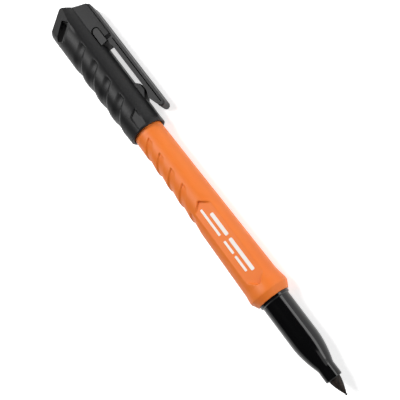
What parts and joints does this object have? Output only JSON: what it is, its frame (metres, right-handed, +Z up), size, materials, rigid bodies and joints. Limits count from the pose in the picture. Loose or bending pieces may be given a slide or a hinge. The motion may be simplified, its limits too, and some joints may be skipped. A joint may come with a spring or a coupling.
{
  "type": "felt tip marker",
  "caption": "Felt tip marker with a fine bullet nib, a tapered grip barrel and a clip cap posted on its rear end.",
  "frame": {"origin": "centre of the bounding box on the table that the marker lies on", "axes": "+X along the marker towards the nib, +Y towards the side the clip is on, +Z up from the table; the marker is rolled so that the saddle's lower edge stands on the table"},
  "size_m": [0.1464, 0.017, 0.0129],
  "materials": {
    "barrel_orange": "moulded polypropylene with a soft satin skin",
    "section_black": "polished moulded polypropylene",
    "nib_fibre": "bonded polyester fibre soaked with ink",
    "reservoir_fibre": "crimped polyester fibre soaked with ink",
    "film_clear": "thin clear film",
    "cap_black": "moulded ABS with a fine satin texture",
    "liner_natural": "natural moulded polyethylene",
    "clip_black": "moulded acetal with a fine satin texture"
  },
  "bodies": {
    "barrel": {"barrel": "barrel_orange", "front_section": "section_black", "nib": "nib_fibre", "ink_reservoir": "reservoir_fibre", "reservoir_film": "film_clear"},
    "cap": {"cap_shell": "cap_black", "cap_liner": "liner_natural", "clip_heel": "clip_black"},
    "clip": {"clip_arm": "clip_black"}
  },
  "joints": [
    {"name": "cap_pull", "type": "slide", "parent": "barrel", "child": "cap", "axis": [-1, 0, 0], "range_m": [0, 0.026]},
    {"name": "clip_flex", "type": "hinge", "parent": "cap", "child": "clip", "pos_m": [-0.05407, 0.00725, 0.00361], "axis": [0, 0.2915, 0.9566], "range_deg": [0, 5], "stiffness_Nm_per_rad": 0.6}
  ]
}
